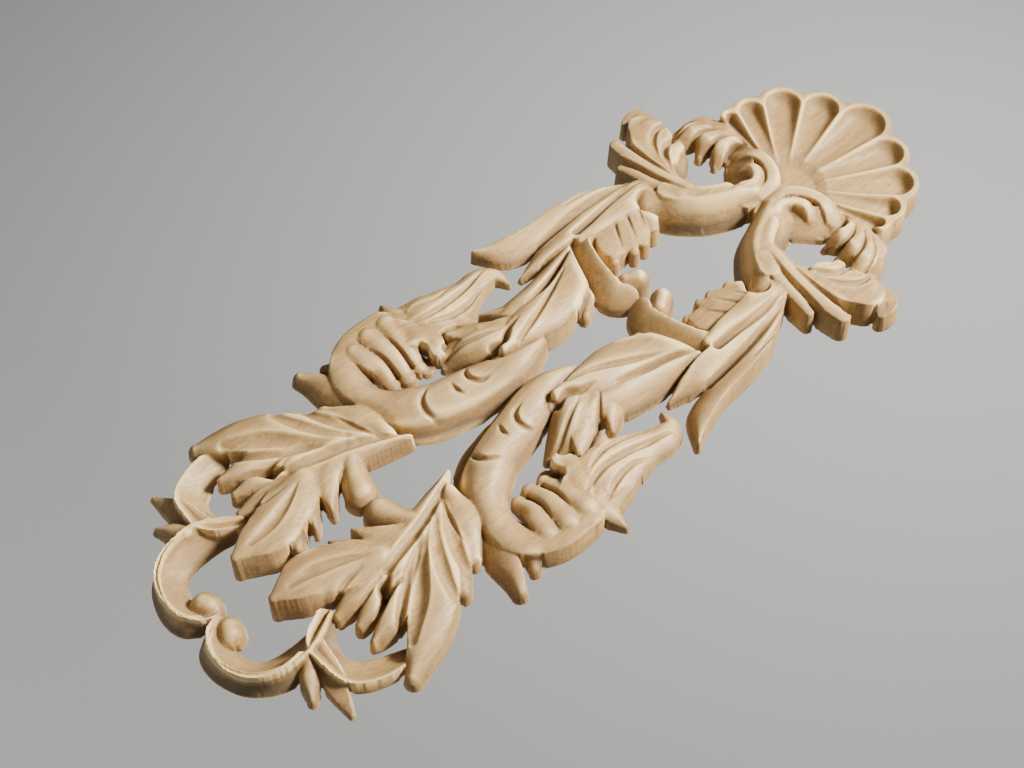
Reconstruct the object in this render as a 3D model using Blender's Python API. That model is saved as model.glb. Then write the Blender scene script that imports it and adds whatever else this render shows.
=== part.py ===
"""Pierced floral wood carving: one flat-backed piece of carved wood, the same on both sides of its middle
line. A scalloped shell stands at the top over two volutes, then come crest leaves, draped leaves, a long
leaf in the middle, two stems that turn out into side leaves, a pair of large acanthus leaves, and a pair
of rings and curls at the bottom.

The carving is laid out in mm as it lies on the wall: x runs out from the middle line, y runs up from the
middle of the bottom curls, and height is how far the wood stands off its flat back. In the model the back
lies in the plane y = 0 and faces +Y, the shell is at the top (+Z), and the origin is on the back, on the
middle line, at the notch between the two volutes."""

import bmesh
import bpy
import numpy as np

# Sizes of the carving, in mm
HUB = 360.0  # height of the notch between the two volutes above the middle of the bottom curls
THINNEST = 1.4  # wood left where a lobe rolls down to the wall
HALF_WIDTH = 98.0
LOWEST = -26.0
HIGHEST = 448.0

# The shell: where its flutes meet, and each flute's angle, half angle and reach from there
SHELL_HUB = 366.0
SHELL_RIM = 2.2
FLUTES = ((90.0, 12.5, 75.5), (67.4, 10.1, 69.5), (46.8, 10.5, 68.2), (28.6, 7.7, 61.8), (15.6, 4.0, 57.5))
SHELL_RADII = (0, 17, 23, 38, 58, 80)
RIB_HEIGHTS = (8.5, 9.0, 12.0, 13.2, 15.7, 16.2)
FLUTE_DEPTHS = (0.0, 0.0, 0.8, 2.6, 6.0, 6.5)
FLUTE_SHARE = 0.95  # of the way from one rib to the next
FLUTE_POWER = 3.2  # how flat the floor of a flute is
SCALLOP_SOFTNESS = 2.5  # how far the notches between the scallops are filled

# How the surface is drawn
GRID = 1.6
SNAP = 0.15
TRIANGLES = 9800
BACK_SLACK = 0.0003
SHARP_ANGLE = 0.75
WOOD_COLOUR = (0.62, 0.43, 0.25, 1.0)
WOOD_ROUGHNESS = 0.5


def stroke(points, width, left, right=None, bulge=0.0, power=2.0):
    """One pass of the gouge: a curve through points, its half width, the heights of its two edges
    (left and right of the way it runs) and how far its middle stands over them. Lists run evenly along it."""
    right = left if right is None else right
    return {"points": points, "width": width, "left": left, "right": right, "bulge": bulge, "power": power}


def cut(points, width, depth):
    """A groove along a curve, with its half width and its depth."""
    return {"points": points, "width": width, "depth": depth}


def hub():
    """Root of the shell, behind the notch between the two volutes."""
    return [stroke([(0, 365), (0, 351)], [3, 3], 8.5)]


def sprig():
    """Small toothed leaf between the shell and the crest leaf."""
    return [
        stroke([(36, 371), (48, 371), (60, 368)], [4, 6, 7], [9, 12, 11], bulge=1.2),
        stroke([(43, 369), (42.5, 362), (39.5, 355.5)], [4.5, 4.4, 1.5], [12, 11, 3], bulge=1.5),
        stroke([(51, 369), (52, 361), (49.5, 354)], [5, 4.6, 2], [12, 12, 4], bulge=1.5),
        stroke([(58, 367), (61.5, 359), (62.5, 352.5)], [5, 5.6, 4], [12, 12, 7], bulge=1.5),
        stroke([(60, 368), (65, 363.5), (68, 357)], [6, 4.4, 3], [11, 9.5, 6], bulge=0.6),
        cut([(43, 373), (47, 366), (46.8, 360), (44, 354)], [0.6, 1.2, 1.6, 1.6], [0.4, 1.6, 4, 6]),
        cut([(49, 373), (55.5, 365), (57, 358), (56, 352)], [0.6, 1.2, 1.6, 1.8], [0.4, 1.6, 3, 6]),
        cut([(54, 373), (61, 367), (65.3, 359), (66, 352)], [0.6, 1.1, 1.2, 1.2], [0.4, 1.2, 1.6, 2]),
    ]


def crest_leaf():
    """Leaf that the stem's top runs into, with broad shallow lobes and a hooked end."""
    return [
        stroke([(28, 325), (38, 324), (50, 326.5), (62, 332), (72, 336.5), (78.5, 339.5)],
               [3.5, 4.6, 5.4, 8, 10.2, 8.6], [13, 14, 15, 15.5, 16, 15],
               [18.5, 18, 17.5, 17.5, 17.5, 17], bulge=0.6),
        stroke([(72, 341), (79, 343), (86, 346.8)], [8.5, 7, 4], [15, 16, 13], [16.5, 16.5, 13],
               bulge=0.8),
        stroke([(85, 344), (88.5, 340), (90, 337.8)], [4, 3.2, 2.4], [8, 4, 2]),
        stroke([(84, 347), (89.5, 347), (92.2, 343), (92, 338.5)], [4, 3.2, 2, 1.4], [14, 13, 9, 3]),
        stroke([(50.5, 331), (50.2, 337), (52.5, 343.5)], [2.4, 5, 3.6], [15, 2.5, 4], [18, 18.5, 15.5],
               bulge=1),
        stroke([(54, 333), (57, 339), (57, 343.5)], [5, 5, 3.4], [17, 16.5, 15], bulge=1),
        stroke([(58, 332), (64, 339), (67.5, 344.5)], [5, 5.5, 4], [16, 15, 14], [16.5, 16, 15],
               bulge=1.2),
        stroke([(28, 323), (40, 321), (54, 320), (68, 320), (79.5, 320.5)], [3.2, 4, 4.6, 5, 4.2],
               [19, 19, 18, 17, 14.5], [20, 18.5, 17.5, 16.5, 15.5], bulge=0.8),
        stroke([(28, 317.5), (38, 314.8), (50, 313), (60, 311.8), (66.5, 310.6)],
               [3.4, 3.6, 3.6, 3.4, 2.4],
               [20, 18.5, 17.5, 16.5, 14], [20, 19, 18, 16.5, 14], bulge=0.8),
        cut([(30, 321), (38, 318.6), (48, 316.6), (60, 315.4), (71, 314)], [0.7, 1.4, 1.8, 1.8, 1.6],
            [0.4, 1.8, 2.6, 2.8, 2.8]),
        cut([(34, 326), (44, 324), (56, 323.2), (68, 323.4), (80, 324.4)], [0.6, 1.2, 1.6, 1.8, 1.6],
            [0.4, 1.6, 2.4, 2.8, 2.8]),
        cut([(46, 328.5), (54, 331.5), (59.5, 336.5), (61, 342), (60.5, 347.5)],
            [0.8, 1.8, 2.4, 2.2, 1.6],
            [0.4, 1.8, 2.6, 2.8, 3]),
        cut([(58, 329.5), (66, 334), (70.5, 339), (72.5, 344), (72.5, 349)], [0.8, 1.8, 2.4, 2, 1.4],
            [0.4, 1.6, 2.4, 2.6, 2.6]),
    ]


def second_leaf():
    """Draped leaf under the main stem: long outer tip, inner tip and the broad ridge they hang from."""
    return [
        stroke([(52, 300), (60, 284), (64.5, 264), (66, 245), (70, 230), (80.5, 217.5)],
               [5, 6, 6, 5.8, 6, 1.1],
               [16, 17, 16, 14, 12, 8], [15, 12, 9, 5, 4, 6], bulge=2),
        stroke([(50, 300), (54, 280), (54, 260), (54, 243), (53.5, 226)], [7, 8, 6.5, 5.5, 1.1],
               [16, 13, 10, 7, 2], [16, 16, 16, 14, 4], bulge=2),
        stroke([(46, 303), (46, 288), (45, 273), (45.5, 261)], [9, 7, 5, 3.5], [17, 16, 15, 13],
               [17, 17, 17, 15], bulge=2.4),
        cut([(54, 306), (58, 290), (60.5, 270), (60.5, 246)], [0.8, 1.8, 2, 1.6], [1, 2.6, 3, 4]),
        cut([(50, 308), (51.5, 290), (50.5, 274), (50, 262)], [0.8, 1.6, 2, 2.6], [1, 2.2, 4, 7]),
        cut([(56, 306), (61.5, 296), (65, 284), (67, 270)], [0.6, 1.2, 1.2, 0.8], [0.6, 1.8, 1.6, 0.6]),
    ]


def bud():
    """Lobes that roll in under the end of the main stem."""
    return [
        stroke([(38, 300), (35.5, 291), (34.5, 282), (33.5, 273)], [7, 9, 10.2, 8], [16, 16, 16, 14],
               [8, 6, 3, 2], bulge=1.5),
        stroke([(47, 303), (37, 299.5), (28, 295)], [7, 6, 4], [17, 15, 9], bulge=1.5),
        stroke([(48, 296), (37, 291), (24.5, 285.5)], [7, 5.6, 3.6], [17, 14, 6], bulge=1.8),
        stroke([(49, 289), (38, 283.5), (23.5, 278)], [7, 5.6, 3], [17, 14, 3], bulge=1.8),
        stroke([(49, 281), (40, 276), (32, 271), (26, 266.5)], [7, 6, 5, 2.6], [16, 14, 9, 2], bulge=2),
        cut([(47, 300), (38, 295.5), (29, 291)], [0.8, 1.6, 1.2], [0.6, 1.8, 0.8]),
        cut([(48, 293), (38, 287.5), (27, 282.5)], [0.8, 1.6, 1.2], [0.6, 2, 1]),
        cut([(48, 286), (39, 279.5), (28, 273.5)], [0.8, 1.6, 1.2], [0.6, 2.2, 1]),
    ]


def middle_leaf():
    """Long leaf that runs down the middle, folds over the stem and ends in a tongue that turns down."""
    return [
        stroke([(37, 247), (27, 241.5), (19, 237), (13, 232.5)], [5, 6.5, 6.5, 3.2], [10, 5, 3, 2],
               [14, 13, 11, 5], bulge=2.5),
        stroke([(44, 264), (36, 245), (28, 225), (24, 206), (22, 194), (18.6, 183)],
               [3, 9, 13, 14.5, 10, 2.4], [13, 11, 7, 9, 14, 17], [15, 16, 15, 14, 15, 18],
               bulge=[2, 4, 6, 7, 6, 2]),
        stroke([(47, 252), (43, 236), (40.5, 222), (38, 208), (35, 198), (33, 188)],
               [3, 5.5, 7, 7.5, 7, 6],
               [9, 5, 3, 4, 8, 12], [14, 14, 13, 14, 15, 16], bulge=[2, 4, 5, 5, 4, 2]),
        stroke([(34, 207), (40, 201), (47, 194)], [5.5, 5, 2], [10, 8, 5], [14, 13, 8], bulge=2),
        stroke([(30, 192), (37, 184), (43, 177), (47.5, 172)], [6, 6.5, 5, 2.4], [14, 12, 11, 10],
               [17, 16, 14, 12], bulge=1.5),
        stroke([(34, 181), (40, 172), (41.5, 166)], [6, 5.5, 2.6], [15, 12, 7], bulge=1),
        stroke([(24, 193), (28, 182), (33, 172), (37.5, 161)], [6, 6.5, 6, 2.4], [16, 17, 14, 4],
               [15, 13, 8, 3], bulge=[2, 3, 3, 1]),
        cut([(45, 254), (39.5, 240), (35.5, 225), (33, 211)], [0.6, 1.6, 2, 1], [0.6, 2.4, 2.8, 0.8]),
        cut([(36, 240), (28, 222), (21, 205), (17, 192)], [0.5, 1.4, 1.8, 1.4], [0.4, 1.2, 1.6, 1.4]),
        cut([(27, 201), (25.5, 193), (21.5, 186), (24, 180)], [0.6, 2, 2.4, 2], [0.5, 2.4, 4.5, 4]),
        cut([(31, 200), (38, 193.5), (44.5, 187)], [0.6, 1.6, 2], [0.5, 3, 5]),
        cut([(28, 190), (32, 180), (37, 170), (39, 163)], [0.6, 1.4, 1.6, 1], [0.5, 1.8, 2, 1]),
    ]


def inner_curl():
    """Curl with a ball end that meets its mirror on the middle line."""
    return [
        stroke([(8.5, 266), (11.5, 261)], [5.8, 6], [10, 8], bulge=6),
        stroke([(55, 272), (47, 261.5), (36, 254.5), (23, 250.5), (11, 249.5), (3.5, 254.5)],
               [4, 4.6, 5, 5.8, 6.4, 5], [14, 11, 6, 3, 2, 4], [16, 17, 17, 15.5, 14, 12],
               bulge=[2, 2.5, 3, 4, 4, 3]),
    ]


def main_stem():
    """Thick stem that rolls over into the volute: ground, hollow, outer band, bead, body and inner slope."""
    return [
        stroke([(6, 345), (5.5, 354), (10, 363), (17, 367), (23, 366.5), (28, 364), (31, 361)],
               [6, 6, 6.5, 6.5, 6, 5.5, 3.6], [13, 13, 12.5, 12.5, 12, 9, 3]),
        stroke([(22.4, 350.4), (26.7, 355.2), (31.5, 359.4), (37, 364.4)], [2.4, 2.8, 2.8, 2.6],
               [2, 4, 5, 5], 1.6),
        stroke([(15, 356), (19, 353), (23, 352)], [6.5, 6.4, 4.4], [13, 8, 2]),
        stroke([(1.5, 352), (3.5, 361), (9, 367.5), (15.5, 370.8), (22.5, 371.8), (29.5, 370.5),
                (34.5, 367.5),
                (36.3, 364)], [3.4, 3.4, 3.6, 3.6, 3.6, 3.8, 3.8, 3], [12, 13, 14, 14, 14, 13, 9, 3],
               [16, 16, 16, 15.5, 15.5, 15, 11, 4], bulge=0.8),
        stroke([(10.5, 345), (8.5, 352), (11.5, 358.5), (16.5, 362), (22, 362.6), (26.5, 361),
                (29.5, 358.3)],
               [3.2, 3.2, 3.2, 3.4, 3.4, 3.2, 2.6], [16, 15, 14, 14, 14, 12, 4],
               [19, 18.5, 17.5, 17, 16.5, 13, 4],
               bulge=[2, 2, 2, 2, 2, 1.6, 1]),
        stroke([(39, 303), (33, 307.2), (26, 311.3), (20, 316.4), (15.5, 321.7), (10.8, 330.4),
                (7.2, 339.8),
                (5.3, 348.7)], [6, 6, 5.6, 5.4, 5.7, 5.5, 5.3, 5], [8, 2, 1.5, 1.5, 1.5, 2, 5, 12],
               [18, 19, 20, 20, 20, 20, 20, 18], bulge=[3, 5, 6, 6.5, 6.5, 6, 5, 3]),
        stroke([(34, 322), (27, 326), (22, 331.5), (19.3, 337), (17.3, 343.5), (14, 350)],
               [7, 5.2, 4.6, 5.6, 6, 4.5], 20, [16.5, 15.5, 10, 4, 1.5, 9], bulge=[0.5, 0.8, 1.6, 3, 4, 1]),
        stroke([(36, 314), (27, 319.5), (20.5, 328), (16, 338)], [5, 4.5, 4, 3], 19.6, bulge=0.6),
    ]


def side_leaf():
    """Tips that point outward under the stem's turn."""
    return [
        stroke([(64, 122), (71, 119.5), (76, 116)], [8, 5.5, 2.8], [11, 9, 5], bulge=2),
        stroke([(44, 112), (60, 108), (72, 106), (80.5, 103)], [6, 7, 6, 3.4], [12, 12, 10, 6],
               [5, 1.5, 1.5, 2], bulge=2.5),
    ]


def middle_stem():
    """Stem that touches its mirror in the middle and turns out and up into the side leaf, with the
    three fingers that roll down into its eye."""
    return [
        stroke([(44, 154), (57, 152)], [4.5, 4.5], 3),
        stroke([(72, 152), (58, 151.5), (46, 150.5)], [5, 5, 4], [14, 12, 5], bulge=2),
        stroke([(72, 141), (56, 143.5), (44.5, 142.5)], [5, 5.2, 4.2], [14, 12, 5], bulge=2),
        stroke([(70, 130), (56, 134.5), (46, 134)], [5, 5, 4], [13, 11, 5], bulge=2),
        stroke([(12, 202), (11, 188), (12, 174), (14, 160), (17, 147), (21, 136), (33, 122), (50, 117.5),
                (64, 122), (72, 134), (72, 150)],
               [3, 8.5, 11.5, 13, 13.5, 14, 11.6, 9.5, 10, 9.5, 10], [8, 9, 10, 11, 10, 9, 8, 6, 4, 5, 6],
               [12, 13, 11, 5, 2, 2, 3, 9, 12, 13, 13], bulge=[5, 7, 7, 9, 11.5, 11, 9, 6, 5, 4, 4]),
        stroke([(70, 148), (65.5, 166), (62.5, 182), (64, 196), (66.5, 208), (63.5, 217), (55, 219.5)],
               [11, 14.5, 14.5, 12, 8, 6, 0.8], [12, 13, 12, 9, 8, 7, 4], [6, 6, 8, 8, 6, 5, 3],
               bulge=[3, 3, 4, 4, 3, 3, 1]),
        stroke([(58, 180), (50, 184), (45, 188)], [8, 5, 1.1], [12, 10, 8], bulge=1.5),
        stroke([(66, 170), (70, 178), (73, 185)], [8, 5.5, 2.4], [11, 10, 6], bulge=1.5),
        stroke([(72, 158), (80, 160.5), (88.5, 162)], [8, 4.5, 1.1], [11, 8, 3], bulge=1.5),
        stroke([(75, 146), (62, 157.5), (51, 164), (43.5, 162)], [6, 5.5, 5, 4], [11, 12, 13, 11],
               [14, 14, 13, 11], bulge=1),
        cut([(66, 146), (57, 147.8), (47, 147.5)], [0.8, 1.4, 1.6], [0.4, 1.8, 2.6]),
        cut([(65, 136), (56, 138.7), (47, 138.6)], [0.8, 1.4, 1.6], [0.4, 1.8, 2.6]),
        cut([(71, 214), (66, 200), (63, 186), (62, 172), (66, 158)], [0.6, 1.6, 2, 2, 1],
            [0.5, 1.6, 2, 1.8, 0.6]),
        cut([(61, 206), (56, 192), (55, 180), (58, 168)], [0.6, 1.4, 1.8, 1], [0.5, 1.4, 1.6, 0.6]),
        cut([(71, 194), (69, 184), (71, 172), (75, 163)], [0.5, 1.2, 1.6, 1], [0.4, 1.2, 1.4, 0.6]),
        cut([(11, 137), (13, 132.5), (18, 131), (23, 133.5), (26, 140)], [0.5, 1.6, 2, 1.6, 0.5],
            [0.3, 2, 2.6, 2, 0.3]),
        cut([(11, 151), (16, 148.8), (22, 149.5)], [0.5, 1.6, 0.5], [0.3, 2.2, 0.3]),
        cut([(12, 166), (15, 160), (20, 159), (25, 162)], [0.5, 1.6, 1.8, 0.5], [0.3, 2, 2.2, 0.3]),
    ]


def big_leaf():
    """Large acanthus leaf: outer lobes, small end lobes, end block, inner teeth and the ball."""
    return [
        stroke([(28, 94), (20, 86), (11, 83)], [7, 5.5, 4.5], [12, 9, 7], bulge=[3, 2, 1]),
        stroke([(6.8, 79), (7, 86)], [6.8, 6.8], 7, bulge=6),
        stroke([(28, 82), (20, 73), (7.5, 66.5)], [6, 5.5, 1.1], [14, 13, 6], bulge=2),
        stroke([(28, 72), (20, 62), (5.5, 55)], [6, 5.5, 1.1], [14, 13, 6], bulge=2),
        stroke([(26, 60), (14, 48), (0, 41.5)], [7, 7, 2], [14, 13, 10], bulge=2),
        stroke([(22, 112), (36, 107), (53, 98)], [4, 8, 5], [12, 12, 8], bulge=2.4),
        stroke([(28, 101), (46, 93), (64, 84)], [7, 8, 3.4], [13, 12, 7], bulge=2.4),
        stroke([(34, 90), (54, 76), (67, 62), (75, 50), (80, 41)], [8, 10.5, 11, 8.5, 4],
               [14, 14, 13, 10, 5],
               [14, 14, 14, 12, 5], bulge=3.2),
        stroke([(38, 80), (48, 64), (54, 48), (56, 38)], [6, 7, 5.5, 1.5], [14, 14, 10, 3], bulge=3),
        stroke([(36, 66), (43, 52), (46.5, 38.5)], [5, 5, 1.5], [13, 12, 4], bulge=2),
        stroke([(33, 60), (35, 46), (36.5, 34)], [5, 5, 1.5], [13, 12, 4], bulge=2),
        stroke([(28, 66), (20, 50), (15, 37), (14.5, 27), (14, 17.5)], [7, 12, 12, 10, 2.5],
               [14, 14.5, 16, 17.5, 17.5], bulge=[4, 4, 3, 1.5, 1]),
        stroke([(13.5, 119), (20.5, 105), (29, 88), (35, 70)], [1.1, 5.6, 9, 9], [10, 12, 13, 14],
               bulge=3),
        cut([(16, 116), (23, 103), (28.5, 90), (32, 77), (36, 64)], [0.8, 1.8, 2.2, 2.4, 2.2],
            [0.6, 3, 3.8, 3.8, 3.4]),
        cut([(26, 105), (40, 98), (52, 92.5), (60, 91)], [0.8, 2.2, 2.6, 2], [0.6, 2.6, 3.2, 2.4]),
        cut([(29, 98), (42, 87.5), (56, 80.5), (66, 77.5)], [0.8, 2.2, 2.6, 2], [0.6, 2.6, 3.2, 2.4]),
        cut([(32, 92), (44, 77), (57, 65), (69, 50)], [0.8, 2.6, 3.2, 2], [0.6, 2.8, 3.2, 1.4]),
        cut([(34, 86), (43, 71), (52, 59), (59, 51)], [0.8, 2.2, 2.6, 1.8], [0.6, 3, 3.6, 3.4]),
        cut([(20, 108), (32, 103), (46, 99)], [0.6, 1.4, 0.8], [0.4, 1.4, 0.5]),
        cut([(26, 62), (20, 50), (16, 38), (14.5, 26)], [0.6, 2, 2.4, 1.4], [0.5, 2, 2.2, 1]),
        cut([(41.5, 62), (42, 50), (44, 40)], [2.4, 3.4, 1.2], [7, 9, 4]),
    ]


def bottom_scroll():
    """Ring, outward tips and the C curl with its ball end under the big leaf."""
    return [
        stroke([(44, 12), (51, 7), (58, 2.5)], [3, 4.5, 2], [9, 6, 2], bulge=3),
        stroke([(42, 18), (58, 14.5), (74, 11)], [4, 5, 1.1], [12, 9, 3], [8, 5, 2]),
        stroke([(70, 46), (66.5, 33), (60, 23), (49, 20), (40, 22), (33, 30)], [5, 6.5, 7, 6, 6, 4],
               [9, 9, 10, 13, 13.5, 12], [1, 1, 1, 1.5, 2, 6], bulge=-1),
        stroke([(43.5, 10), (44, 2), (40.5, -7), (32.5, -15.5), (20, -20), (9, -19), (3, -12.5)], 2.4, 2,
               [15, 15, 14.5, 14, 13, 12, 11]),
        stroke([(31, 32), (36, 18), (37, 6), (34, -5), (27, -11), (17, -13), (7, -10), (4, -6)],
               [4, 6, 6.3, 6.5, 6.5, 6, 5, 4], [12, 14, 15, 14.5, 14, 13, 12, 11],
               [1, 1, 1, 1, 1.5, 2, 4, 6], bulge=-1),
        stroke([(7.5, -4), (10, -5)], [6, 6], 7, bulge=4),
    ]


def crown():
    """The main stem and the crest leaf, which run into each other."""
    return main_stem() + crest_leaf()


# From the lowest layer to the one on top
LAYERS = (hub, sprig, side_leaf, middle_stem, middle_leaf, inner_curl, bud, second_leaf, crown, bottom_scroll,
          big_leaf)


def smooth_path(points, steps=8):
    """Points along a smooth curve through the given ones, and the share of its length at each."""
    pts = np.array(points, float)
    if len(pts) > 2:
        ends = np.vstack([2 * pts[0] - pts[1], pts, 2 * pts[-1] - pts[-2]])
        s = np.linspace(0, 1, steps, endpoint=False)[:, None]
        runs = [
            b + 0.5 * ((c - a) * s + (2 * a - 5 * b + 4 * c - d) * s**2 + (3 * b - a - 3 * c + d) * s**3)
            for a, b, c, d in zip(ends, ends[1:], ends[2:], ends[3:])
        ]
        pts = np.vstack(runs + [pts[-1:]])
    length = np.r_[0, np.cumsum(np.hypot(*np.diff(pts, axis=0).T))]
    return pts, length / length[-1]


def spread(values, share):
    """Values set at even steps along a stroke, read at a share of its length, smoothly."""
    values = np.atleast_1d(np.array(values, float))
    count = len(values) - 1
    if count < 2:
        return values[0] + (values[-1] - values[0]) * share
    ends = np.r_[2 * values[0] - values[1], values, 2 * values[-1] - values[-2]]
    place = np.clip(share * count, 0, count)
    i = np.minimum(place.astype(int), count - 1)
    s = place - i
    a, b, c, d = ends[i], ends[i + 1], ends[i + 2], ends[i + 3]
    smooth = b + 0.5 * ((c - a) * s + (2 * a - 5 * b + 4 * c - d) * s**2 + (3 * b - a - 3 * c + d) * s**3)
    return np.clip(smooth, values.min(), values.max())


def across(points, width, x, y):
    """How far each place is inside a stroke's edge, where it is across it from the left edge (-1)
    to the right edge (1), how far out from its middle (0 to 1), and its share along."""
    pts, share = smooth_path(points)
    best = np.full(x.shape, np.inf)
    side = np.zeros(x.shape)
    along = np.zeros(x.shape)
    for (ax, ay), (bx, by), start, end in zip(pts, pts[1:], share, share[1:]):
        dx, dy = bx - ax, by - ay
        t = np.clip(((x - ax) * dx + (y - ay) * dy) / (dx * dx + dy * dy), 0, 1)
        ox, oy = x - ax - t * dx, y - ay - t * dy
        gap = ox * ox + oy * oy
        nearer = gap < best
        best = np.where(nearer, gap, best)
        side = np.where(nearer, (ox * dy - oy * dx) / np.hypot(dx, dy), side)
        along = np.where(nearer, start + t * (end - start), along)
    gap = np.sqrt(best)
    half = spread(width, along)
    out = np.clip(gap / np.maximum(half, 0.05), 0, 1)
    return half - gap, side / np.maximum(gap, 1e-6) * out, out, along


def shell(x, y):
    """Scalloped shell: flutes with round ends, cut into a fan that rises from the hub to its rim."""
    radius = np.hypot(x, y - SHELL_HUB)
    height = np.interp(radius, SHELL_RADII, RIB_HEIGHTS)
    depth = np.interp(radius, SHELL_RADII, FLUTE_DEPTHS)
    scallops = np.zeros(x.shape)
    for angle, half, reach in FLUTES:
        angle, slope = np.radians(angle), np.sin(np.radians(half))
        centre = reach / (1 + slope)
        run = x * np.cos(angle) + (y - SHELL_HUB) * np.sin(angle)
        off = x * np.sin(angle) - (y - SHELL_HUB) * np.cos(angle)
        width = np.clip(run, 0.5, centre) * slope
        gap = np.where(run > centre, np.hypot(run - centre, off), np.abs(off))
        hollow = np.clip(1 - (gap / (width * FLUTE_SHARE)) ** FLUTE_POWER, 0, 1)
        height = height - np.where(run > 0, depth * hollow, 0)
        within = np.where(run > 0, width + SHELL_RIM - gap, -60)
        scallops += np.exp(np.clip(within, -60, 60) / SCALLOP_SOFTNESS)
    inside = SCALLOP_SOFTNESS * np.log(scallops)
    return height, inside


def lay(height, inside, x, y, group, step):
    """Lays a group of strokes over what is there, then makes its cuts."""
    top = np.full(x.shape, -1e3)
    edge = np.full(x.shape, -1e3)
    for item in group:
        xy = np.array(item["points"], float)
        reach = np.max(item["width"]) + 4
        low, high = xy.min(axis=0) - reach, xy.max(axis=0) + reach
        near = (x > low[0]) & (x < high[0]) & (y > low[1]) & (y < high[1])
        if not near.any():
            continue
        within, place, out, along = across(item["points"], item["width"], x[near], y[near])
        if "depth" in item:
            top[near] -= spread(item["depth"], along) * (1 - out**2)
            continue
        left, right, bulge = (spread(item[key], along) for key in ("left", "right", "bulge"))
        level = (left * (1 - place) + right * (1 + place)) / 2 + bulge * (1 - out ** item["power"])
        top[near] = np.where(within > -step, np.maximum(top[near], level), top[near])
        edge[near] = np.maximum(edge[near], within)
    share = np.where(top > -100, np.clip(edge / step + 0.5, 0, 1), 0)
    under = np.where(inside > -step / 2, height, top)
    return np.where(share > 0, under * (1 - share) + top * share, height), np.maximum(inside, edge)


def carving(x, y, step):
    """Height of the wood at each place, and how far the place is inside the outline."""
    height, inside = shell(x, y)
    for group in LAYERS:
        height, inside = lay(height, inside, x, y, group(), step)
    return np.maximum(height, THINNEST), inside



def outline_cells(inside, rows, columns):
    """For every grid cell that holds wood: its corners and crossings in order.
    A corner is its grid number; a crossing is the pair of grid numbers that it lies between."""
    number = np.arange(rows * columns).reshape(rows, columns)
    rings = np.stack([number[:-1, :-1], number[:-1, 1:], number[1:, 1:], number[1:, :-1]], -1).reshape(-1, 4)
    full = inside[rings] > 0
    cells = rings[full.all(axis=1)].tolist()
    mixed = full.any(axis=1) & ~full.all(axis=1)
    for ring, within in zip(rings[mixed].tolist(), full[mixed].tolist()):
        apart = within[0] == within[2] and within[1] == within[3]
        for start in [k for k in range(4) if within[k]] if apart else [None]:
            cell = []
            for k in range(4):
                here, there = ring[k], ring[(k + 1) % 4]
                if within[k] and start in (None, k):
                    cell.append(here)
                if within[k] != within[(k + 1) % 4] and start in (None, k, (k + 1) % 4):
                    cell.append((min(here, there), max(here, there)))
            cells.append(cell)
    return cells


def grid_over_carving(step):
    """Grid of places that is the same on both sides of the middle line, with its rows and columns."""
    half = int(HALF_WIDTH / step) + 1
    across_line = np.arange(-half, half + 1) * step
    up_line = np.arange(LOWEST, HIGHEST, step)
    x, y = (axis.ravel() for axis in np.meshgrid(across_line, up_line))
    return x, y, len(up_line), len(across_line)


def front_surface(step):
    """Carved front as points (x, y, height) and faces."""
    x, y, rows, columns = grid_over_carving(step)
    inside = np.clip(carving(np.abs(x), y, step)[1], -4 * step, 4 * step)
    least = SNAP * step
    inside = np.where(np.abs(inside) < least, np.where(inside > 0, least, -least), inside)
    cells = outline_cells(inside, rows, columns)
    corners = sorted({key for cell in cells for key in cell if isinstance(key, int)})
    crossings = sorted({key for cell in cells for key in cell if isinstance(key, tuple)})
    number = {key: i for i, key in enumerate(corners + crossings)}
    first, second = np.array(crossings).T
    share = (inside[first] / (inside[first] - inside[second]))[:, None]
    places = np.column_stack([x, y])
    places = np.vstack([places[corners], places[first] * (1 - share) + places[second] * share])
    height = carving(np.abs(places[:, 0]), places[:, 1], step)[0]
    return np.column_stack([places, height]), [[number[key] for key in cell] for cell in cells]


def to_world(points):
    """Turns places on the wall, in mm, into the model's metres."""
    return np.column_stack([points[:, 0], -points[:, 2], points[:, 1] - HUB]) / 1000


def clear_scene():
    for item in list(bpy.data.objects):
        bpy.data.objects.remove(item, do_unlink=True)


def close_back(mesh):
    """Drops straight walls from the outline to the flat back and fills the back in."""
    work = bmesh.new()
    work.from_mesh(mesh)
    bmesh.ops.triangulate(work, faces=work.faces)
    rim = [edge for edge in work.edges if edge.is_boundary]
    made = bmesh.ops.extrude_edge_only(work, edges=rim)["geom"]
    for item in made:
        if isinstance(item, bmesh.types.BMVert):
            item.co.y = 0.0
    rim = [edge for edge in work.edges if edge.is_boundary]
    bmesh.ops.triangle_fill(work, edges=rim, use_beauty=True, normal=(0, 1, 0))
    bmesh.ops.triangulate(work, faces=work.faces)
    bmesh.ops.recalc_face_normals(work, faces=work.faces)
    work.to_mesh(mesh)
    work.free()


def thinned(item, triangles):
    """Takes out the points that do least for the shape, alike on both sides, and keeps the back flat."""
    fewer = item.modifiers.new("fewer faces", "DECIMATE")
    fewer.ratio = triangles / len(item.data.polygons)
    fewer.use_symmetry = True
    fewer.symmetry_axis = "X"
    graph = bpy.context.evaluated_depsgraph_get()
    mesh = bpy.data.meshes.new_from_object(item.evaluated_get(graph))
    item.modifiers.clear()
    item.data = mesh
    for point in mesh.vertices:
        if point.co.y > -BACK_SLACK:
            point.co.y = 0.0


def wood_material():
    wood = bpy.data.materials.new("carved beech")
    wood.use_nodes = True
    shader = wood.node_tree.nodes["Principled BSDF"]
    shader.inputs["Base Color"].default_value = WOOD_COLOUR
    shader.inputs["Roughness"].default_value = WOOD_ROUGHNESS
    return wood


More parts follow.
